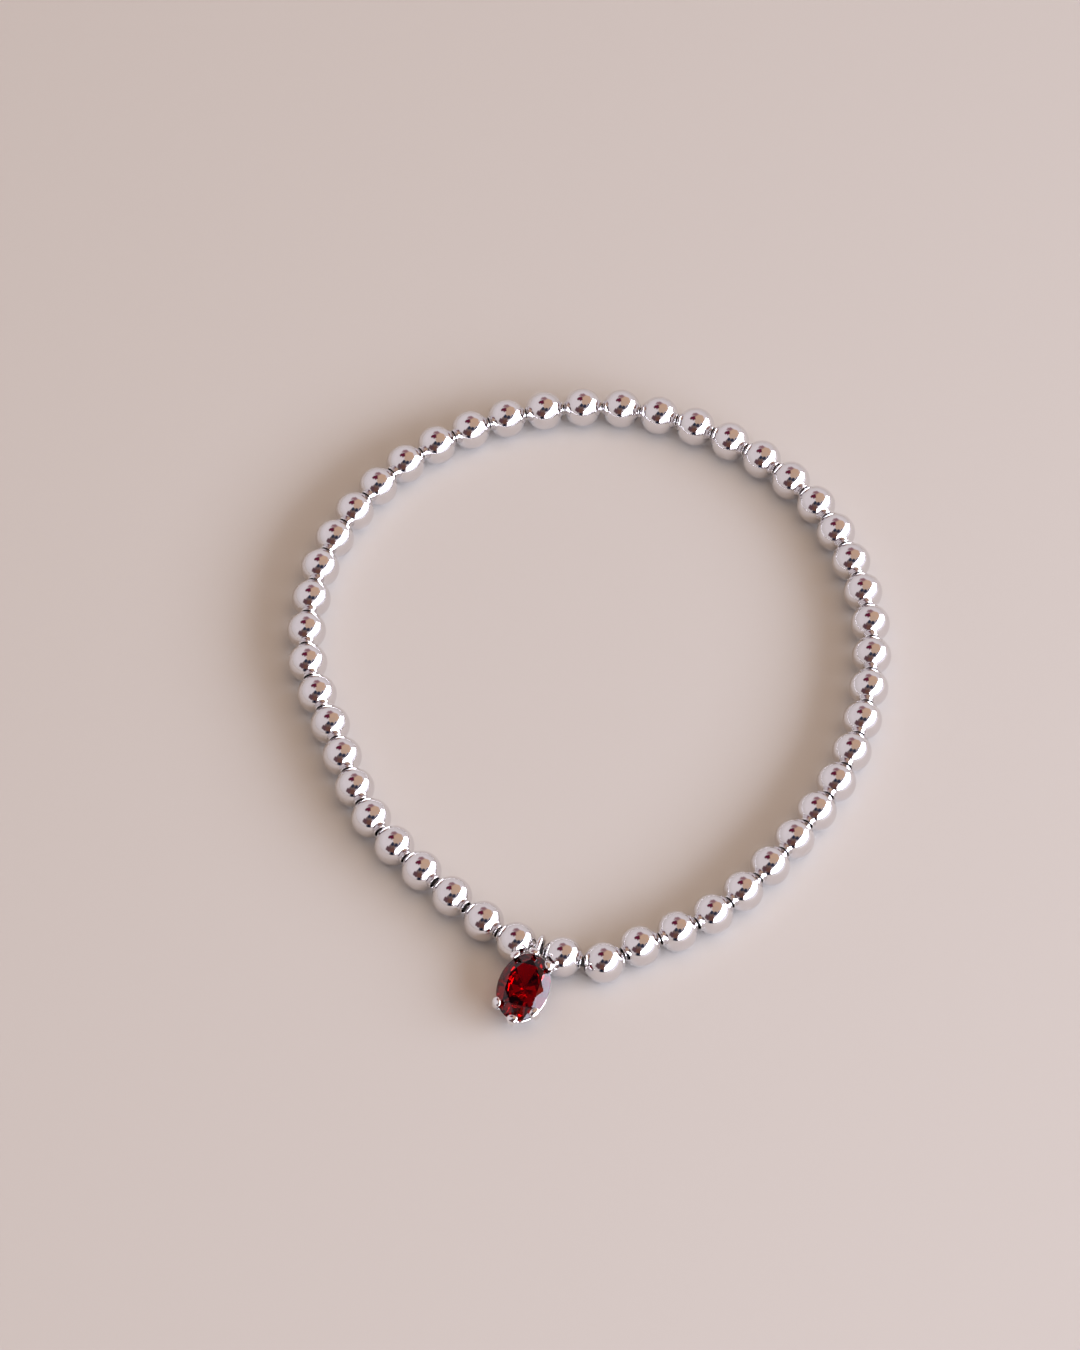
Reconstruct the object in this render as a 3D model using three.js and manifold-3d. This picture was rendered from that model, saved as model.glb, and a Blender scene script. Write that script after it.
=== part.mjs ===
// Stretch bracelet: round polished beads on an elastic cord, with one small oval stone charm.
// Millimetres, +Z up. The beads lie on the plane z = 0 and the charm is at the front, towards -Y.
// The origin is the centre of the whole bracelet's outline, on the plane that it lies on.

import * as THREE from 'three';
import { ConvexGeometry } from 'three/addons/geometries/ConvexGeometry.js';
import { mergeVertices } from 'three/addons/utils/BufferGeometryUtils.js';
import Module from 'manifold-3d';

const wasm = await Module();
wasm.setup();

// Driving sizes
const beadCount = 48;
const beadDiameter = 4;
const beadBore = 1.4;
const beadPitch = 4.05;
const charmGap = 4.85;
const looseGap = 0.22;
const cordDiameter = 0.7;

const stoneWidth = 5.1;
const stoneLength = 7.0;
const crownHeight = 0.72;
const pavilionDepth = 2.1;
const girdleThickness = 0.16;
const tableRatio = 0.66;
const starRatio = 0.82;
const lowerRatio = 0.5;

const claw = { width: 0.7, thickness: 0.45, tipWidth: 1.1, tipLength: 0.85, tipHeight: 0.6 };
const railWire = 0.5;
const bailWire = 0.55;
const bailHole = 1.6;
const bailReach = 4.85;
const bailDrop = 1.6;

const charmTilt = THREE.MathUtils.degToRad(13);
const charmYaw = THREE.MathUtils.degToRad(18);

// How finely round things are faceted
const beadSides = 12;
const beadBands = 7;
const cordSides = 8;
const cordSteps = 72;
const wireSides = 6;
const railSteps = 24;
const clawSteps = 6;
const tipSides = 8;
const tipBands = 5;
const bailSteps = 20;

// Middle line of the string of beads, seen from above, from the charm round to the right.
// The charm's own place is the point 0, 0 between the last row and the first.
const routeStations = [
  { x: 2.2, y: -0.9 },
  { x: 6.4, y: -1.5 },
  { x: 10.0, y: 0.5 },
  { x: 17.0, y: 4.2 },
  { x: 25.1, y: 13.0 },
  { x: 31.1, y: 23.5 },
  { x: 33.5, y: 35.3 },
  { x: 32.9, y: 43.4 },
  { x: 28.5, y: 54.6 },
  { x: 19.8, y: 63.0 },
  { x: 8.4, y: 67.4 },
  { x: -3.4, y: 66.1 },
  { x: -14.0, y: 60.0 },
  { x: -21.2, y: 50.0 },
  { x: -23.4, y: 41.5 },
  { x: -23.4, y: 34.4 },
  { x: -20.9, y: 26.6 },
  { x: -16.5, y: 15.2 },
  { x: -8.6, y: 6.2 },
  { x: -2.1, y: 0.7 },
];

// The beads after which the next one stands a little further off, so that the cord shows.
const looseAfter = [45, 46];

const beadRadius = beadDiameter / 2;
const stringLength = (beadCount - 1) * beadPitch + looseAfter.length * looseGap + charmGap;

const steel = () => new THREE.MeshStandardMaterial({ color: 0xd6d6da, metalness: 1, roughness: 0.08 });
const elastic = () => new THREE.MeshStandardMaterial({ color: 0x131316, metalness: 0, roughness: 0.5 });
const redStone = () => new THREE.MeshStandardMaterial({ color: 0x6e0414, metalness: 0, roughness: 0.03 });

// Solids and booleans

function toSolid(geometry) {
  const bare = geometry.clone();
  bare.deleteAttribute('normal');
  bare.deleteAttribute('uv');
  const welded = mergeVertices(bare, 1e-5);
  const vertProperties = new Float32Array(welded.attributes.position.array);
  const triVerts = new Uint32Array(welded.index.array);
  return new wasm.Manifold(new wasm.Mesh({ numProp: 3, vertProperties, triVerts }));
}

function toGeometry(solid) {
  const mesh = solid.getMesh();
  const geometry = new THREE.BufferGeometry();
  geometry.setAttribute('position', new THREE.BufferAttribute(mesh.vertProperties, 3));
  geometry.setIndex(new THREE.BufferAttribute(mesh.triVerts, 1));
  geometry.computeVertexNormals();
  return geometry;
}

function makeMesh(name, geometry, material) {
  const mesh = new THREE.Mesh(geometry, material);
  mesh.name = name;
  return mesh;
}

// A closed round wire along a closed flat curve that runs anticlockwise seen from above.
// It is a torus whose every vertex is carried from the torus's circle to the curve.
function wireLoop(curve, diameter, sides, steps) {
  const circleRadius = 10;
  const geometry = new THREE.TorusGeometry(circleRadius, diameter / 2, sides, steps);
  const places = geometry.attributes.position;
  for (let i = 0; i < places.count; i += 1) {
    const x = places.getX(i);
    const y = places.getY(i);
    const step = Math.round((Math.atan2(y, x) / (2 * Math.PI)) * steps + steps) % steps;
    const outward = Math.hypot(x, y) - circleRadius;
    const middle = curve.getPointAt(step / steps);
    const heading = curve.getTangentAt(step / steps);
    places.setX(i, middle.x + outward * heading.y);
    places.setY(i, middle.y - outward * heading.x);
  }
  return geometry;
}

// The string of beads

function stringRoute() {
  const drawn = new THREE.CatmullRomCurve3(
    [new THREE.Vector3(0, 0, 0)].concat(routeStations.map((s) => new THREE.Vector3(s.x, s.y, 0))),
    true,
    'centripetal',
  );
  drawn.arcLengthDivisions = 2400;
  const scale = stringLength / drawn.getLength();
  const route = new THREE.CatmullRomCurve3(
    drawn.points.map((point) => point.clone().multiplyScalar(scale)),
    true,
    'centripetal',
  );
  route.arcLengthDivisions = 2400;
  return route;
}

// A drilled ball on the X axis. Its flats are tangent to the true ball, and one of them is level
// below it, so the bead lies on a real face.
function drilledBead() {
  const sideStretch = 1 / Math.cos(Math.PI / beadSides);
  const rimAngle = Math.asin(beadBore / beadDiameter);
  const bandAngle = (Math.PI - 2 * rimAngle) / beadBands;
  const profileRadius = beadRadius / Math.cos(bandAngle / 2);
  const rimReach = beadRadius * Math.cos(rimAngle);
  const boreRadius = (beadBore / 2) * sideStretch;
  const profile = [new THREE.Vector2(boreRadius, -rimReach)];
  for (let band = 1; band < beadBands; band += 1) {
    const angle = Math.PI - rimAngle - band * bandAngle;
    const across = profileRadius * Math.sin(angle) * sideStretch;
    profile.push(new THREE.Vector2(across, profileRadius * Math.cos(angle)));
  }
  profile.push(new THREE.Vector2(boreRadius, rimReach));
  profile.push(profile[0].clone());
  const geometry = new THREE.LatheGeometry(profile, beadSides, Math.PI / beadSides);
  geometry.rotateZ(-Math.PI / 2);
  return geometry;
}

function beadString(route) {
  const beads = new THREE.Group();
  const shape = drilledBead();
  for (let i = 0; i < beadCount; i += 1) {
    const loosened = looseAfter.filter((bead) => bead <= i).length * looseGap;
    const along = (charmGap / 2 + i * beadPitch + loosened) / stringLength;
    const middle = route.getPointAt(along);
    const heading = route.getTangentAt(along);
    const name = `bead_${String(i + 1).padStart(2, '0')}`;
    const bead = makeMesh(name, shape, steel());
    bead.position.set(middle.x, middle.y, beadRadius);
    bead.rotation.z = Math.atan2(heading.y, heading.x);
    beads.add(bead);
  }
  return beads;
}

function elasticCord(route) {
  const geometry = wireLoop(route, cordDiameter, cordSides, cordSteps);
  const cord = makeMesh('elastic_cord', geometry, elastic());
  cord.position.z = beadRadius;
  return cord;
}

// The charm, in its own frame: the stone's girdle is at z = 0, its table looks along +Z, its long
// axis is Y, and the bail is past its +Y end.

function ringPoints(count, turn, ratio, height) {
  const points = [];
  for (let i = 0; i < count; i += 1) {
    const angle = turn + (i / count) * 2 * Math.PI;
    const x = (stoneWidth / 2) * ratio * Math.cos(angle);
    const y = (stoneLength / 2) * ratio * Math.sin(angle);
    points.push(new THREE.Vector3(x, y, height));
  }
  return points;
}

// Oval brilliant cut: a table, 8 star facets, 8 kites and 16 small facets above the girdle, and
// 8 kites with 16 small facets below it. Each kite's side corners lie in the kite's own plane.
function brilliantStone() {
  const eighth = Math.PI / 4;
  const sixteenth = eighth / 2;
  const kiteFall = (1 - starRatio * Math.cos(sixteenth)) / (1 - tableRatio);
  const starHeight = girdleThickness / 2 + (crownHeight - girdleThickness / 2) * kiteFall;
  const lowerDepth = pavilionDepth * (1 - lowerRatio * Math.cos(sixteenth));
  const corners = [
    ...ringPoints(8, sixteenth, tableRatio, crownHeight),
    ...ringPoints(8, 0, starRatio, starHeight),
    ...ringPoints(16, 0, 1, girdleThickness / 2),
    ...ringPoints(16, 0, 1, -girdleThickness / 2),
    ...ringPoints(8, 0, lowerRatio, -lowerDepth),
    new THREE.Vector3(0, 0, -pavilionDepth),
  ];
  return makeMesh('charm_stone', new ConvexGeometry(corners), redStone());
}

function ovalRail(halfWidth, halfLength, height) {
  const oval = new THREE.EllipseCurve(0, 0, halfWidth, halfLength);
  const geometry = wireLoop(oval, railWire, wireSides, railSteps);
  return geometry.translate(0, 0, height);
}

// The claws rise from the base rail, pass the girdle and bend in over the crown. Each row is a
// height and how far outside the girdle's outline the claw's middle line runs there.
const clawStations = [
  { outside: -1.05, height: -2.0 },
  { outside: -0.35, height: -1.1 },
  { outside: 0.24, height: -0.4 },
  { outside: 0.34, height: 0.2 },
  { outside: 0.14, height: 0.64 },
];

// Six claws: one at each end of the stone and two on each side, in degrees from the X axis.
const clawAngles = {
  bailEnd: 90,
  bailLeft: 130,
  footLeft: 223,
  footEnd: 270,
  footRight: 317,
  bailRight: 46,
};

function ovalSection(width, thickness, sides) {
  const corners = [];
  for (let i = 0; i < sides; i += 1) {
    const angle = (i / sides) * 2 * Math.PI;
    corners.push(new THREE.Vector2((width / 2) * Math.cos(angle), (thickness / 2) * Math.sin(angle)));
  }
  return new THREE.Shape(corners);
}

// One claw, first in the XZ plane with the girdle at its origin, then turned and carried to its
// place on the girdle.
function clawSolid(angle) {
  const points = clawStations.map((station) => new THREE.Vector3(station.outside, 0, station.height));
  const post = new THREE.ExtrudeGeometry(ovalSection(claw.width, claw.thickness, wireSides), {
    steps: clawSteps,
    extrudePath: new THREE.CatmullRomCurve3(points),
  });
  const tipPlace = points[points.length - 1];
  const tip = new THREE.SphereGeometry(0.5, tipSides, tipBands).rotateX(Math.PI / 2);
  tip.scale(claw.tipLength, claw.tipWidth, claw.tipHeight);
  tip.translate(tipPlace.x, 0, tipPlace.z);
  const halfWidth = stoneWidth / 2;
  const halfLength = stoneLength / 2;
  const turn = Math.atan2(Math.sin(angle) / halfLength, Math.cos(angle) / halfWidth);
  const solids = [post, tip].map((geometry) => {
    geometry.rotateZ(turn);
    geometry.translate(halfWidth * Math.cos(angle), halfLength * Math.sin(angle), 0);
    return toSolid(geometry);
  });
  return solids[0].add(solids[1]);
}

// The base rail, the seat rail, the claws and the bail are soldered, so they are one solid.
function solderedSetting() {
  const base = clawStations[0];
  const seat = clawStations[1];
  let solid = toSolid(ovalRail(stoneWidth / 2 + base.outside, stoneLength / 2 + base.outside, base.height));
  const seatRail = ovalRail(stoneWidth / 2 + seat.outside, stoneLength / 2 + seat.outside, seat.height);
  solid = solid.add(toSolid(seatRail));
  for (const angle of Object.values(clawAngles)) {
    solid = solid.add(clawSolid(THREE.MathUtils.degToRad(angle)));
  }
  const bailRadius = (bailHole + bailWire) / 2;
  const bail = new THREE.TorusGeometry(bailRadius, bailWire / 2, wireSides, bailSteps);
  bail.rotateY(Math.PI / 2).translate(0, bailReach, -bailDrop);
  const neckStart = stoneLength / 2 + seat.outside;
  const neckEnd = bailReach - bailHole / 2 - bailWire / 2;
  const neckRise = (bailHole + bailWire) / 4;
  const neck = new THREE.CylinderGeometry(bailWire / 2, bailWire / 2, neckEnd - neckStart, wireSides);
  neck.translate(0, (neckStart + neckEnd) / 2, neckRise - bailDrop);
  solid = solid.add(toSolid(bail)).add(toSolid(neck));
  return makeMesh('charm_setting', toGeometry(solid), steel());
}

// The charm lies on its base rail's front edge, its bail end held up by the cord through the bail.
function lyingCharm() {
  const charm = new THREE.Group();
  charm.rotation.set(charmTilt, 0, -charmYaw, 'ZYX');
  charm.add(solderedSetting());
  charm.add(brilliantStone());
  const bailMiddle = new THREE.Vector3(0, bailReach, -bailDrop).applyEuler(charm.rotation);
  charm.position.set(-bailMiddle.x, -bailMiddle.y, 0);
  const lowest = new THREE.Box3().setFromObject(charm, true).min.z;
  charm.position.z = -lowest;
  return charm;
}

const route = stringRoute();
const bracelet = new THREE.Group();
bracelet.add(beadString(route));
bracelet.add(elasticCord(route));
bracelet.add(lyingCharm());

const outline = new THREE.Box3().setFromObject(bracelet, true);
const middle = outline.getCenter(new THREE.Vector3());
bracelet.position.set(-middle.x, -middle.y, -outline.min.z);

export default bracelet;
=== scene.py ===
"""Stretch bracelet: polished steel beads on an elastic cord, with one small oval stone charm.

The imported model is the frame. Sizes in millimetres carry that word or stand in the first section;
everything that Blender gets is in metres, in the frame's own axes.
"""

import math

import bmesh
import bpy
from mathutils import Matrix, Vector


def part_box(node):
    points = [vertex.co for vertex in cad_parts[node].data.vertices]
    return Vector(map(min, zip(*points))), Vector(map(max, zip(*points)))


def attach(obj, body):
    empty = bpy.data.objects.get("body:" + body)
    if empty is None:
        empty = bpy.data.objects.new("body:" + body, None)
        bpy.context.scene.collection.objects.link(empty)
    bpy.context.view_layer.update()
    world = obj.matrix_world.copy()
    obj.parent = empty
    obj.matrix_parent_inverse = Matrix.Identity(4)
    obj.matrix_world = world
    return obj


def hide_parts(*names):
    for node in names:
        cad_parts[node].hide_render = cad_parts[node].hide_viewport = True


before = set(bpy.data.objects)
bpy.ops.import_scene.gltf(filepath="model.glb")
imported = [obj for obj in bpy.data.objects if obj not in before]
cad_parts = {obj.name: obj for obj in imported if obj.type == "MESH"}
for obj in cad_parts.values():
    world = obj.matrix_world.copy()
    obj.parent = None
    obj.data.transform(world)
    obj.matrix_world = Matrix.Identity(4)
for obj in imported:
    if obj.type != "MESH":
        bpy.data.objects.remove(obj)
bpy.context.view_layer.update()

# Driving sizes in millimetres
MM = 0.001
BEAD_DIAMETER = 4.0
BEAD_LENGTH = 3.88
BEAD_HOLE = 1.2
RIM_ROLL = 0.16
RIM_FILLET = math.radians(1.2)
CORD_DIAMETER = 0.7
CORD_STRAIGHT = 3.0

STONE_WIDTH = 5.1
STONE_LENGTH = 7.0
CROWN_HEIGHT = 0.72
PAVILION_DEPTH = 2.1
GIRDLE_THICKNESS = 0.16
TABLE_RATIO = 0.66
STAR_RATIO = 0.82
STAR_DROP = 0.035
LOWER_RATIO = 0.5

RAIL_WIRE = 0.5
BAIL_WIRE = 0.55
BAIL_HOLE = 1.6
BAIL_REACH = 4.85
BAIL_DROP = 1.6

CHARM_TILT = math.radians(13)
CHARM_YAW = math.radians(18)

# How finely the metal is meshed
BEAD_SIDES = 64
BEAD_BANDS = 30
RIM_BANDS = 8
WIRE_SIDES = 16
CORD_STEPS_PER_SPAN = 2
RAIL_STEPS = 96
BAIL_STEPS = 64
CLAW_SIDES = 20
CLAW_STEPS_PER_STATION = 5
GIRDLE_SIDES = 120
VOXEL = 0.045
SMOOTH_PASSES = 12

# Directions
RIGHT = Vector((1.0, 0.0, 0.0))
UP = Vector((0.0, 0.0, 1.0))

# Fine surface detail: noise scales in waves per metre, heights in metres
HAZE_SCALE = 420.0
SCRATCH_SCALE = (9000.0, 700.0, 1500.0)
SCRATCH_TURN = (0.4, 0.9, 0.5)
POLISH_ROUGHNESS = 0.035
WORN_SHADE = 0.94
WAVINESS_SCALE = 900.0
WAVINESS_HEIGHT = 0.000006
FIBRE_SCALE = 6000.0
FIBRE_HEIGHT = 0.00002
ZONING_SCALE = 260.0
STONE_POLISH_SCALE = 2600.0

# The sockets of Blender's Mix node when it mixes colours
MIX_AMOUNT = 0
MIX_FROM = 6
MIX_TO = 7
MIX_COLOUR = 2

# The photograph's viewpoint
FRAME_LONG_SIDE_PX = 1350
FOCAL_PX = 5500
SENSOR_MM = 36.0
VIEW_PITCH = math.radians(53.93)
VIEW_DISTANCE = 0.5569
VIEW_AIM = Vector((-0.00492, 0.00404, 0.0))


# Node helpers

def new_material(name):
    material = bpy.data.materials.new(name)
    material.use_nodes = True
    nodes = material.node_tree.nodes
    return material, nodes, material.node_tree.links, nodes["Principled BSDF"]


def object_noise(nodes, links, scale, detail, roughness=0.5):
    place = nodes.new("ShaderNodeTexCoord")
    noise = nodes.new("ShaderNodeTexNoise")
    noise.inputs["Scale"].default_value = scale
    noise.inputs["Detail"].default_value = detail
    noise.inputs["Roughness"].default_value = roughness
    links.new(place.outputs["Object"], noise.inputs["Vector"])
    return noise.outputs["Fac"]


def spread(nodes, links, value, low, high, dark, light):
    """Maps value from low..high to dark..light, held at both ends."""
    remap = nodes.new("ShaderNodeMapRange")
    remap.inputs["From Min"].default_value = low
    remap.inputs["From Max"].default_value = high
    remap.inputs["To Min"].default_value = dark
    remap.inputs["To Max"].default_value = light
    links.new(value, remap.inputs["Value"])
    return remap.outputs["Result"]


def two_tone(nodes, links, value, dark, light):
    blend = nodes.new("ShaderNodeMix")
    blend.data_type = "RGBA"
    blend.inputs[MIX_FROM].default_value = (*dark, 1.0)
    blend.inputs[MIX_TO].default_value = (*light, 1.0)
    links.new(value, blend.inputs[MIX_AMOUNT])
    return blend.outputs[MIX_COLOUR]


def add_bump(nodes, links, shader, height, distance):
    bump = nodes.new("ShaderNodeBump")
    bump.inputs["Strength"].default_value = 1.0
    bump.inputs["Distance"].default_value = distance
    links.new(height, bump.inputs["Height"])
    links.new(bump.outputs["Normal"], shader.inputs["Normal"])


# Materials

def polished_steel(name, tone, wear):
    """Mirror-polished steel: faint handling haze, hairline scratches and a slightly uneven surface."""
    material, nodes, links, shader = new_material(name)
    haze = object_noise(nodes, links, HAZE_SCALE, 3.0)
    scratches = nodes.new("ShaderNodeTexNoise")
    stretch = nodes.new("ShaderNodeMapping")
    stretch.inputs["Scale"].default_value = SCRATCH_SCALE
    stretch.inputs["Rotation"].default_value = SCRATCH_TURN
    place = nodes.new("ShaderNodeTexCoord")
    links.new(place.outputs["Object"], stretch.inputs["Vector"])
    links.new(stretch.outputs["Vector"], scratches.inputs["Vector"])
    scratches.inputs["Scale"].default_value = 1.0
    scratches.inputs["Detail"].default_value = 2.0
    lines = spread(nodes, links, scratches.outputs["Fac"], 0.62, 0.74, 0.0, 1.0)
    dull = spread(nodes, links, haze, 0.35, 0.75, 0.0, 1.0)
    worn = nodes.new("ShaderNodeMath")
    worn.operation = "MAXIMUM"
    links.new(lines, worn.inputs[0])
    links.new(dull, worn.inputs[1])
    darker = tuple(WORN_SHADE * part for part in tone)
    links.new(two_tone(nodes, links, worn.outputs[0], tone, darker), shader.inputs["Base Color"])
    worn_roughness = POLISH_ROUGHNESS + wear
    rough = spread(nodes, links, worn.outputs[0], 0.0, 1.0, POLISH_ROUGHNESS, worn_roughness)
    links.new(rough, shader.inputs["Roughness"])
    shader.inputs["Metallic"].default_value = 1.0
    waviness = object_noise(nodes, links, WAVINESS_SCALE, 1.0)
    add_bump(nodes, links, shader, waviness, WAVINESS_HEIGHT)
    return material


def elastic_fibre():
    """Dark covered elastic, with fine lighter fibres that stand up a little."""
    material, nodes, links, shader = new_material("elastic_fibre")
    fibres = object_noise(nodes, links, FIBRE_SCALE, 3.0, 0.7)
    tone = two_tone(nodes, links, fibres, (0.012, 0.012, 0.016), (0.05, 0.048, 0.055))
    links.new(tone, shader.inputs["Base Color"])
    links.new(spread(nodes, links, fibres, 0.3, 0.7, 0.45, 0.7), shader.inputs["Roughness"])
    add_bump(nodes, links, shader, fibres, FIBRE_HEIGHT)
    return material


def garnet_glass():
    """Deep red cut stone, clear enough for its back facets to light up."""
    material, nodes, links, shader = new_material("garnet_glass")
    zoning = object_noise(nodes, links, ZONING_SCALE, 2.0)
    tone = two_tone(nodes, links, zoning, (0.60, 0.01, 0.04), (0.80, 0.025, 0.07))
    links.new(tone, shader.inputs["Base Color"])
    polish = object_noise(nodes, links, STONE_POLISH_SCALE, 3.0)
    links.new(spread(nodes, links, polish, 0.45, 0.8, 0.0, 0.05), shader.inputs["Roughness"])
    shader.inputs["IOR"].default_value = 2.16
    shader.inputs["Specular Tint"].default_value = (0.30, 0.28, 0.31, 1.0)
    shader.inputs["Transmission Weight"].default_value = 1.0
    depth = nodes.new("ShaderNodeVolumeAbsorption")
    depth.inputs["Color"].default_value = (0.93, 0.0, 0.35, 1.0)
    depth.inputs["Density"].default_value = 2500.0
    links.new(depth.outputs["Volume"], nodes["Material Output"].inputs["Volume"])
    return material


# Mesh helpers

def mesh_piece(name, work, material, smooth=True):
    """A new object named name from a bmesh, closed and facing out."""
    bmesh.ops.recalc_face_normals(work, faces=work.faces)
    data = bpy.data.meshes.new(name)
    work.to_mesh(data)
    work.free()
    for polygon in data.polygons:
        polygon.use_smooth = smooth
    data.materials.append(material)
    piece = bpy.data.objects.new(name, data)
    bpy.context.scene.collection.objects.link(piece)
    return piece


def skin_rings(work, rings, closed):
    """Joins rings of equally many points by quads. Open ends get a flat face."""
    made = [[work.verts.new(point) for point in ring] for ring in rings]
    count = len(made[0])
    last = len(made) if closed else len(made) - 1
    for step in range(last):
        here = made[step]
        ahead = made[(step + 1) % len(made)]
        for side in range(count):
            after = (side + 1) % count
            work.faces.new((here[side], here[after], ahead[after], ahead[side]))
    if not closed:
        work.faces.new(made[0])
        work.faces.new(made[-1])


def wire_ring(middle, outward, upward, diameter):
    """The points round a wire at middle, in the plane of two unit directions."""
    ring = []
    for side in range(WIRE_SIDES):
        turn = 2 * math.pi * side / WIRE_SIDES
        reach = outward * math.cos(turn) + upward * math.sin(turn)
        ring.append(middle + reach * diameter / 2)
    return ring


def catmull(points, t):
    """The point at t of an open Catmull-Rom curve, t running from 0 to the last point's number."""
    last = len(points) - 1
    start = min(int(t), last - 1)
    u = t - start
    p0 = points[max(start - 1, 0)]
    p1 = points[start]
    p2 = points[start + 1]
    p3 = points[min(start + 2, last)]
    bend = 2 * p0 - 5 * p1 + 4 * p2 - p3
    twist = 3 * p1 - p0 - 3 * p2 + p3
    return 0.5 * (2 * p1 + (p2 - p0) * u + bend * u * u + twist * u ** 3)


def apply_all(piece):
    """Turns a piece's modifiers into its mesh."""
    graph = bpy.context.evaluated_depsgraph_get()
    done = bpy.data.meshes.new_from_object(piece.evaluated_get(graph))
    piece.modifiers.clear()
    piece.data = done


# Beads

def bead_profile():
    """Closed outline of a drilled ball whose hole rims are rolled over, in mm.

    Each row is (along, across, normal along, normal across).
    """
    radius = BEAD_DIAMETER / 2
    roll = RIM_ROLL / 2
    roll_across = BEAD_HOLE / 2 + roll
    roll_along = BEAD_LENGTH / 2 - roll
    meet = math.atan2(roll_across + roll, roll_along) + RIM_FILLET
    outline = []
    for band in range(BEAD_BANDS + 1):
        angle = meet + (math.pi - 2 * meet) * band / BEAD_BANDS
        c, s = math.cos(angle), math.sin(angle)
        outline.append((radius * c, radius * s, c, s))
    for side in (-1, 1):
        rim = []
        for band in range(RIM_BANDS + 1):
            angle = math.pi / 2 - math.pi * band / RIM_BANDS
            c, s = math.cos(angle), math.sin(angle)
            rim.append((side * (roll_along + roll * c), roll_across + roll * s, side * c, s))
        outline += rim if side < 0 else rim[::-1]
    return outline


def place_on_axis(along, across, turn):
    return Vector((along, across * math.cos(turn), across * math.sin(turn)))


def make_bead(name, centre, heading, material):
    """A lathed, drilled ball with rolled hole rims, its true normals kept for clean reflections."""
    outline = bead_profile()
    spin = Matrix.Rotation(heading, 3, "Z")
    work = bmesh.new()
    rings = []
    normals = []
    for side in range(BEAD_SIDES):
        turn = 2 * math.pi * side / BEAD_SIDES
        rings.append([centre + spin @ place_on_axis(a, b, turn) * MM for a, b, na, nb in outline])
        normals += [spin @ place_on_axis(na, nb, turn) for a, b, na, nb in outline]
    skin_rings(work, rings, closed=True)
    piece = mesh_piece(name, work, material)
    piece.data.normals_split_custom_set_from_vertices(normals)
    return piece


def bead_nodes():
    return sorted(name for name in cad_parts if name.startswith("bead_"))


def bead_centres():
    centres = []
    for name in bead_nodes():
        low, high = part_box(name)
        centres.append((low + high) / 2)
    return centres


def bead_headings(centres):
    """Each bore's heading: parallel to the line from the bead before to the bead after."""
    headings = []
    for i in range(len(centres)):
        chord = centres[(i + 1) % len(centres)] - centres[i - 1]
        headings.append(math.atan2(chord.y, chord.x))
    return headings


def string_of_beads(centres, material):
    for node, centre, heading in zip(bead_nodes(), centres, bead_headings(centres)):
        piece = make_bead("polished_" + node, centre, heading, material)
        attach(piece, "root")
        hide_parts(node)


# Elastic cord

def elastic_cord(centres, bail_middle, material):
    """A round cord, straight inside each bead and bent between them, that also runs through the bail."""
    loop = [Vector((bail_middle.x, bail_middle.y, centres[0].z))]
    for centre, heading in zip(centres, bead_headings(centres)):
        half = Vector((math.cos(heading), math.sin(heading), 0.0)) * CORD_STRAIGHT / 2 * MM
        loop += [centre - half, centre + half]
    count = len(loop)
    padded = [loop[i % count] for i in range(-2, count + 3)]
    rings = []
    for step in range(count * CORD_STEPS_PER_SPAN):
        t = 2 + step / CORD_STEPS_PER_SPAN
        middle = catmull(padded, t)
        way = (catmull(padded, t + 0.01) - catmull(padded, t - 0.01)).normalized()
        outward = Vector((way.y, -way.x, 0.0))
        rings.append(wire_ring(middle, outward, UP, CORD_DIAMETER * MM))
    work = bmesh.new()
    skin_rings(work, rings, closed=True)
    piece = mesh_piece("elastic_cord_round", work, material)
    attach(piece, "root")
    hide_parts("elastic_cord")


# Charm, made in its own axes in millimetres: girdle at z = 0, table up, bail past the +Y end

def charm_place():
    """The matrix that carries the charm's own millimetres to the frame."""
    turn = Matrix.Rotation(-CHARM_YAW, 4, "Z") @ Matrix.Rotation(CHARM_TILT, 4, "X")
    low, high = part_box("charm_stone")
    height = low.z + PAVILION_DEPTH * math.cos(CHARM_TILT) * MM
    middle = Vector(((low.x + high.x) / 2, (low.y + high.y) / 2, height))
    return Matrix.Translation(middle) @ turn @ Matrix.Scale(MM, 4)


def girdle_point(ratio, degrees, height):
    angle = math.radians(degrees)
    across = STONE_WIDTH / 2 * ratio * math.cos(angle)
    along = STONE_LENGTH / 2 * ratio * math.sin(angle)
    return Vector((across, along, height))


def cut_facet(work, a, b, c):
    """Grinds away what lies outside the plane of three points, and closes the cut."""
    normal = (b - a).cross(c - a).normalized()
    if normal.dot(a) < 0:
        normal.negate()
    geometry = work.verts[:] + work.edges[:] + work.faces[:]
    cut = bmesh.ops.bisect_plane(
        work, geom=geometry, dist=1e-6, plane_co=a, plane_no=normal, clear_outer=True
    )
    rim = [part for part in cut["geom_cut"] if isinstance(part, bmesh.types.BMEdge)]
    bmesh.ops.contextual_create(work, geom=rim)


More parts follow.
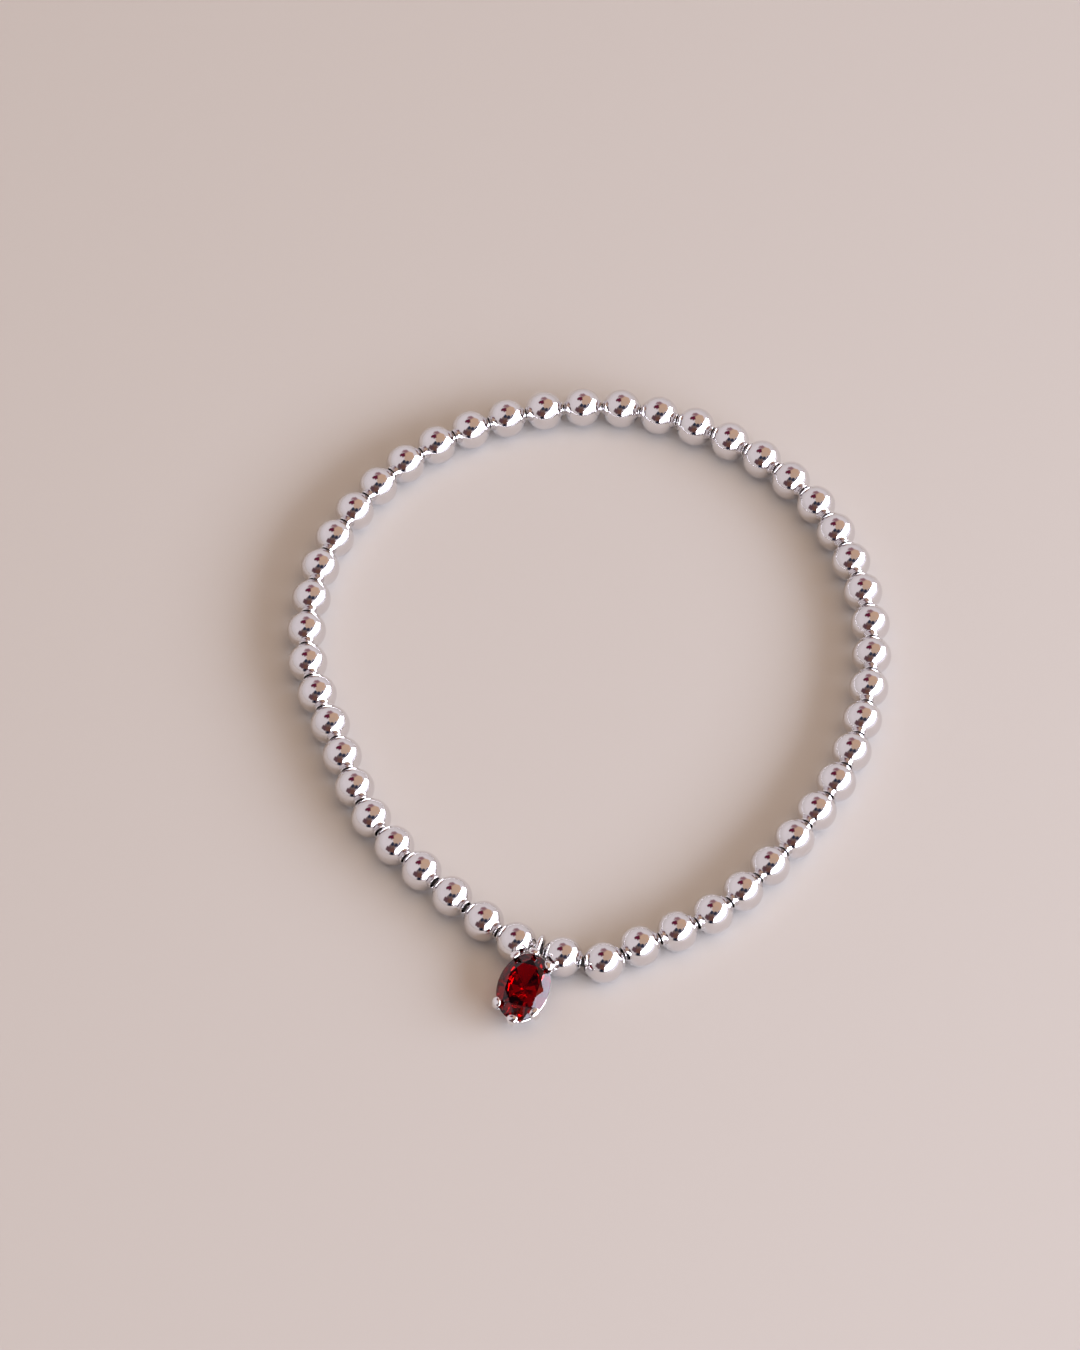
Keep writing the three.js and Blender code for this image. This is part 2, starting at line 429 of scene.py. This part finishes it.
def cut_stone(place, material):
    """Oval brilliant: an elliptical blank ground to its table, stars, kites and girdle facets."""
    work = bmesh.new()
    turns = [360 * side / GIRDLE_SIDES for side in range(GIRDLE_SIDES)]
    top = [girdle_point(1, turn, CROWN_HEIGHT) for turn in turns]
    bottom = [girdle_point(1, turn, -PAVILION_DEPTH) for turn in turns]
    skin_rings(work, [bottom, top], closed=False)
    half_girdle = GIRDLE_THICKNESS / 2
    cosine = math.cos(math.radians(22.5))
    kite_fall = (1 - STAR_RATIO * cosine) / (1 - TABLE_RATIO)
    star_height = half_girdle + (CROWN_HEIGHT - half_girdle) * kite_fall - STAR_DROP
    lower_height = -PAVILION_DEPTH * (1 - LOWER_RATIO * cosine)
    for corner in range(8):
        on = 45 * corner
        for side in (-22.5, 22.5):
            star = girdle_point(STAR_RATIO, on, star_height)
            edge = girdle_point(1, on, half_girdle)
            kite_foot = girdle_point(1, on + side, half_girdle)
            table = girdle_point(TABLE_RATIO, on + side, CROWN_HEIGHT)
            cut_facet(work, star, edge, kite_foot)
            cut_facet(work, star, kite_foot, table)
            lower = girdle_point(LOWER_RATIO, on + 2 * side, lower_height)
            under = girdle_point(1, on + side, -half_girdle)
            cut_facet(work, lower, girdle_point(1, on + 2 * side, -half_girdle), under)
        left = girdle_point(TABLE_RATIO, on - 22.5, CROWN_HEIGHT)
        right = girdle_point(TABLE_RATIO, on + 22.5, CROWN_HEIGHT)
        cut_facet(work, left, right, girdle_point(STAR_RATIO, on, star_height))
    bmesh.ops.transform(work, matrix=place, verts=work.verts)
    piece = mesh_piece("cut_stone", work, material, smooth=False)
    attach(piece, "root")
    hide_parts("charm_stone")


def oval_loop(half_width, half_length, height, wire):
    """Rings of a round wire bent into an oval."""
    rings = []
    for step in range(RAIL_STEPS):
        angle = 2 * math.pi * step / RAIL_STEPS
        middle = Vector((half_width * math.cos(angle), half_length * math.sin(angle), height))
        outward = Vector((half_length * math.cos(angle), half_width * math.sin(angle), 0)).normalized()
        rings.append(wire_ring(middle, outward, UP, wire))
    return rings


# Each claw's middle line and section, from the base rail to the rounded pad over the crown.
CLAW_STATIONS = [
    {"outside": -1.05, "height": -2.0, "width": 0.70, "thickness": 0.45},
    {"outside": -0.35, "height": -1.1, "width": 0.70, "thickness": 0.45},
    {"outside": 0.24, "height": -0.4, "width": 0.70, "thickness": 0.45},
    {"outside": 0.34, "height": 0.15, "width": 0.84, "thickness": 0.46},
    {"outside": 0.20, "height": 0.60, "width": 1.08, "thickness": 0.50},
    {"outside": -0.14, "height": 0.82, "width": 1.00, "thickness": 0.36},
    {"outside": -0.31, "height": 0.80, "width": 0.50, "thickness": 0.18},
]

# Where each claw stands, in degrees from the stone's X axis, and how high it rises over the girdle.
CLAWS = [
    {"name": "bail end", "degrees": 90, "rise": 1.0},
    {"name": "bail left", "degrees": 130, "rise": 1.0},
    {"name": "foot left", "degrees": 223, "rise": 1.0},
    {"name": "foot end", "degrees": 270, "rise": 0.62},
    {"name": "foot right", "degrees": 317, "rise": 0.9},
    {"name": "bail right", "degrees": 46, "rise": 1.0},
]


def claw_rings(degrees, rise):
    """Rings of one claw, set on the girdle at an angle from the stone's X axis."""
    angle = math.radians(degrees)
    foot = girdle_point(1, degrees, 0)
    turn = math.atan2(math.sin(angle) * STONE_WIDTH, math.cos(angle) * STONE_LENGTH)
    carry = Matrix.Translation(foot) @ Matrix.Rotation(turn, 4, "Z")
    path = []
    for row in CLAW_STATIONS:
        height = row["height"] * (rise if row["height"] > 0 else 1.0)
        path.append(Vector((row["outside"], 0.0, height)))
    sizes = [Vector((row["width"], row["thickness"])) for row in CLAW_STATIONS]
    rings = []
    for step in range((len(path) - 1) * CLAW_STEPS_PER_STATION + 1):
        t = step / CLAW_STEPS_PER_STATION
        middle = catmull(path, t)
        ahead = catmull(path, min(t + 0.02, len(path) - 1))
        behind = catmull(path, max(t - 0.02, 0.0))
        way = (ahead - behind).normalized()
        across = Vector((0.0, 1.0, 0.0))
        through = across.cross(way)
        width, thickness = catmull(sizes, t)
        ring = []
        for side in range(CLAW_SIDES):
            around = 2 * math.pi * side / CLAW_SIDES
            point = middle + across * (width / 2 * math.cos(around))
            ring.append(carry @ (point + through * (thickness / 2 * math.sin(around))))
        rings.append(ring)
    return rings


def bail_rings():
    """Rings of the round eye that the cord runs through."""
    radius = (BAIL_HOLE + BAIL_WIRE) / 2
    rings = []
    for step in range(BAIL_STEPS):
        angle = 2 * math.pi * step / BAIL_STEPS
        outward = Vector((0.0, math.cos(angle), math.sin(angle)))
        middle = Vector((0.0, BAIL_REACH, -BAIL_DROP)) + outward * radius
        rings.append(wire_ring(middle, outward, RIGHT, BAIL_WIRE))
    return rings


def neck_rings():
    """Rings at the two ends of the short bar between the seat rail and the bail."""
    seat = CLAW_STATIONS[1]
    rise = (BAIL_HOLE + BAIL_WIRE) / 4
    start = STONE_LENGTH / 2 + seat["outside"]
    end = BAIL_REACH - (BAIL_HOLE + BAIL_WIRE) / 2
    middles = [Vector((0.0, along, rise - BAIL_DROP)) for along in (start, end)]
    return [wire_ring(middle, RIGHT, UP, BAIL_WIRE) for middle in middles]


def fuse(piece):
    """Fuses overlapping solids into one skin, with the soft inner corners of soldered metal."""
    remesh = piece.modifiers.new("fuse", "REMESH")
    remesh.mode = "VOXEL"
    remesh.voxel_size = VOXEL
    remesh.use_smooth_shade = True
    soften = piece.modifiers.new("soften", "SMOOTH")
    soften.factor = 0.5
    soften.iterations = SMOOTH_PASSES
    apply_all(piece)


def soldered_setting(place, material):
    """Two rails, six claws, the neck and the bail, fused into one polished casting."""
    work = bmesh.new()
    base = CLAW_STATIONS[0]
    seat = CLAW_STATIONS[1]
    for rail in (base, seat):
        half_width = STONE_WIDTH / 2 + rail["outside"]
        half_length = STONE_LENGTH / 2 + rail["outside"]
        skin_rings(work, oval_loop(half_width, half_length, rail["height"], RAIL_WIRE), closed=True)
    for claw in CLAWS:
        skin_rings(work, claw_rings(claw["degrees"], claw["rise"]), closed=False)
    skin_rings(work, bail_rings(), closed=True)
    skin_rings(work, neck_rings(), closed=False)
    piece = mesh_piece("claw_setting", work, material)
    fuse(piece)
    piece.data.transform(place)
    for polygon in piece.data.polygons:
        polygon.use_smooth = True
    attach(piece, "root")
    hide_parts("charm_setting")


# Studio

FLOOR_SIZE = 3.0
FLOOR_TONE = (0.445, 0.425, 0.405)
DOME_TONE = (0.77, 0.69, 0.71)
HORIZON_TONE = (0.64, 0.57, 0.56)
HORIZON_HEIGHT = 0.5

# Plain flags and one pale panel round the camera, as the polished metal sees them: where each is
# (degrees from +X, degrees from straight up), how wide it is and how soft its edge is, in degrees.
FLAGS = [
    {"name": "pale", "turn": -28, "down": 84, "radius": 44, "edge": 30, "tone": (1.02, 0.97, 1.06)},
    {"name": "tan", "turn": 38, "down": 26, "radius": 29, "edge": 8, "tone": (0.62, 0.41, 0.29)},
    {"name": "tan top", "turn": -30, "down": 16, "radius": 18, "edge": 8, "tone": (0.58, 0.40, 0.30)},
    {"name": "maroon", "turn": 130, "down": 22, "radius": 14, "edge": 7, "tone": (0.13, 0.015, 0.04)},
    {"name": "maroon top", "turn": 92, "down": 43, "radius": 11, "edge": 14, "tone": (0.30, 0.15, 0.17)},
    {"name": "dark middle", "turn": -103, "down": 41, "radius": 18, "edge": 9, "tone": (0.17, 0.11, 0.10)},
    {"name": "navy", "turn": -108, "down": 24, "radius": 10, "edge": 6, "tone": (0.03, 0.035, 0.06)},
    {"name": "navy middle", "turn": -66, "down": 34, "radius": 11, "edge": 7, "tone": (0.035, 0.035, 0.06)},
    {"name": "navy right", "turn": -32, "down": 46, "radius": 11, "edge": 7, "tone": (0.06, 0.05, 0.10)},
    {"name": "brown", "turn": -126, "down": 60, "radius": 16, "edge": 8, "tone": (0.12, 0.06, 0.07)},
    {"name": "brown right", "turn": -98, "down": 64, "radius": 16, "edge": 8, "tone": (0.16, 0.07, 0.055)},
    {"name": "navy foot", "turn": -102, "down": 84, "radius": 11, "edge": 6, "tone": (0.012, 0.014, 0.03)},
]
FLAG_RAGGEDNESS = 0.36

# The window-like soft box at the right front. The polished pieces see the whole of it, and its
# middle lights the floor, low enough for long soft shadows.
WINDOW_TURN = math.radians(-26)
WINDOW_DISTANCE = 0.45
WINDOW_FOOT = math.radians(13)
SHOWN = {"side": 60, "top": 45.6, "tone": (0.94, 0.95, 1.04), "radiance": 9.0}
SHED = {"side": 36, "top": 36, "tone": (0.90, 0.945, 1.10), "radiance": 12.9}

# A broad overhead panel that only fills the shadows on the floor.
FILL_SIZE = 1.6
FILL_HEIGHT = 1.2
FILL_TONE = (1.0, 0.75, 0.50)
FILL_RADIANCE = 1.0


def direction(turn_degrees, down_degrees):
    turn = math.radians(turn_degrees)
    down = math.radians(down_degrees)
    return Vector((math.sin(down) * math.cos(turn), math.sin(down) * math.sin(turn), math.cos(down)))


def make_floor():
    work = bmesh.new()
    bmesh.ops.create_grid(work, x_segments=1, y_segments=1, size=FLOOR_SIZE / 2)
    material, nodes, links, shader = new_material("plain_pale_floor")
    shader.inputs["Base Color"].default_value = (*FLOOR_TONE, 1.0)
    shader.inputs["Roughness"].default_value = 0.9
    shader.inputs["Specular IOR Level"].default_value = 0.1
    floor = mesh_piece("floor", work, material, smooth=False)


def ragged_way(nodes, links, way):
    """The direction shaken a little by noise, so that the flags' outlines are uneven."""
    noise = nodes.new("ShaderNodeTexNoise")
    noise.inputs["Scale"].default_value = 5.0
    noise.inputs["Detail"].default_value = 3.0
    links.new(way, noise.inputs["Vector"])
    centred = nodes.new("ShaderNodeVectorMath")
    centred.operation = "SUBTRACT"
    centred.inputs[1].default_value = (0.5, 0.5, 0.5)
    links.new(noise.outputs["Color"], centred.inputs[0])
    shaken = nodes.new("ShaderNodeVectorMath")
    shaken.operation = "MULTIPLY_ADD"
    shaken.inputs[1].default_value = (FLAG_RAGGEDNESS, FLAG_RAGGEDNESS, FLAG_RAGGEDNESS)
    links.new(centred.outputs["Vector"], shaken.inputs[0])
    links.new(way, shaken.inputs[2])
    unit = nodes.new("ShaderNodeVectorMath")
    unit.operation = "NORMALIZE"
    links.new(shaken.outputs["Vector"], unit.inputs[0])
    return unit.outputs["Vector"]


def make_dome():
    """Even pale light from all round, with the flags' tones laid over it."""
    world = bpy.data.worlds.new("studio_dome")
    bpy.context.scene.world = world
    world.use_nodes = True
    nodes = world.node_tree.nodes
    links = world.node_tree.links
    way = nodes.new("ShaderNodeTexCoord").outputs["Generated"]
    ragged = ragged_way(nodes, links, way)
    height = nodes.new("ShaderNodeSeparateXYZ")
    links.new(way, height.inputs["Vector"])
    risen = spread(nodes, links, height.outputs["Z"], 0.0, HORIZON_HEIGHT, 0.0, 1.0)
    tone = two_tone(nodes, links, risen, HORIZON_TONE, DOME_TONE)
    for flag in FLAGS:
        facing = nodes.new("ShaderNodeVectorMath")
        facing.operation = "DOT_PRODUCT"
        facing.inputs[1].default_value = direction(flag["turn"], flag["down"])
        links.new(ragged, facing.inputs[0])
        outer = math.cos(math.radians(flag["radius"] + flag["edge"] / 2))
        inner = math.cos(math.radians(flag["radius"] - flag["edge"] / 2))
        amount = nodes.new("ShaderNodeMapRange")
        amount.interpolation_type = "SMOOTHSTEP"
        amount.inputs["From Min"].default_value = outer
        amount.inputs["From Max"].default_value = inner
        links.new(facing.outputs["Value"], amount.inputs["Value"])
        laid = nodes.new("ShaderNodeMix")
        laid.data_type = "RGBA"
        laid.inputs[MIX_TO].default_value = (*flag["tone"], 1.0)
        links.new(amount.outputs["Result"], laid.inputs[MIX_AMOUNT])
        links.new(tone, laid.inputs[MIX_FROM])
        tone = laid.outputs[MIX_COLOUR]
    links.new(tone, nodes["Background"].inputs["Color"])


def make_panel(name, size, tone, radiance):
    """A rectangular area light of even radiance, facing its own -Z, that the camera doesn't see."""
    light = bpy.data.lights.new(name, "AREA")
    light.shape = "RECTANGLE"
    light.size, light.size_y = size
    light.energy = radiance * math.pi * light.size * light.size_y
    light.color = tone
    panel = bpy.data.objects.new(name, light)
    panel.visible_camera = False
    bpy.context.scene.collection.objects.link(panel)
    return panel


def make_window(name, reach):
    """An upright soft box, reaching as far round and as high as reach says."""
    side = WINDOW_DISTANCE * math.tan(math.radians(reach["side"]))
    foot = WINDOW_DISTANCE * math.tan(WINDOW_FOOT)
    top = WINDOW_DISTANCE * math.tan(math.radians(reach["top"]))
    away = Vector((math.cos(WINDOW_TURN), math.sin(WINDOW_TURN), 0.0))
    window = make_panel(name, (2 * side, top - foot), reach["tone"], reach["radiance"])
    window.location = away * WINDOW_DISTANCE
    window.location.z = (foot + top) / 2
    window.rotation_euler = (-away).to_track_quat("-Z", "Y").to_euler()
    return window


def make_lights():
    shown = make_window("window_shown", SHOWN)
    shown.visible_diffuse = False
    shed = make_window("window_shed", SHED)
    fill = make_panel("fill", (FILL_SIZE, FILL_SIZE), FILL_TONE, FILL_RADIANCE)
    fill.location = (0.0, 0.0, FILL_HEIGHT)
    for panel in (shed, fill):
        panel.visible_glossy = False
        panel.visible_transmission = False


def make_camera():
    camera_data = bpy.data.cameras.new("photo_view")
    camera_data.sensor_width = SENSOR_MM
    camera_data.lens = FOCAL_PX * SENSOR_MM / FRAME_LONG_SIDE_PX
    camera_data.clip_start = 0.01
    camera = bpy.data.objects.new("photo_view", camera_data)
    back = Vector((0.0, -math.cos(VIEW_PITCH), math.sin(VIEW_PITCH)))
    camera.location = VIEW_AIM + back * VIEW_DISTANCE
    camera.rotation_euler = (-back).to_track_quat("-Z", "Y").to_euler()
    bpy.context.scene.collection.objects.link(camera)
    bpy.context.scene.camera = camera


# The scene

bpy.context.scene.view_settings.view_transform = "Standard"
make_camera()
charm = charm_place()
centres = bead_centres()
string_of_beads(centres, polished_steel("polished_steel", (0.80, 0.785, 0.80), 0.05))
elastic_cord(centres, charm @ Vector((0.0, BAIL_REACH, -BAIL_DROP)), elastic_fibre())
soldered_setting(charm, polished_steel("setting_steel", (0.84, 0.825, 0.83), 0.04))
cut_stone(charm, garnet_glass())
make_floor()
make_dome()
make_lights()
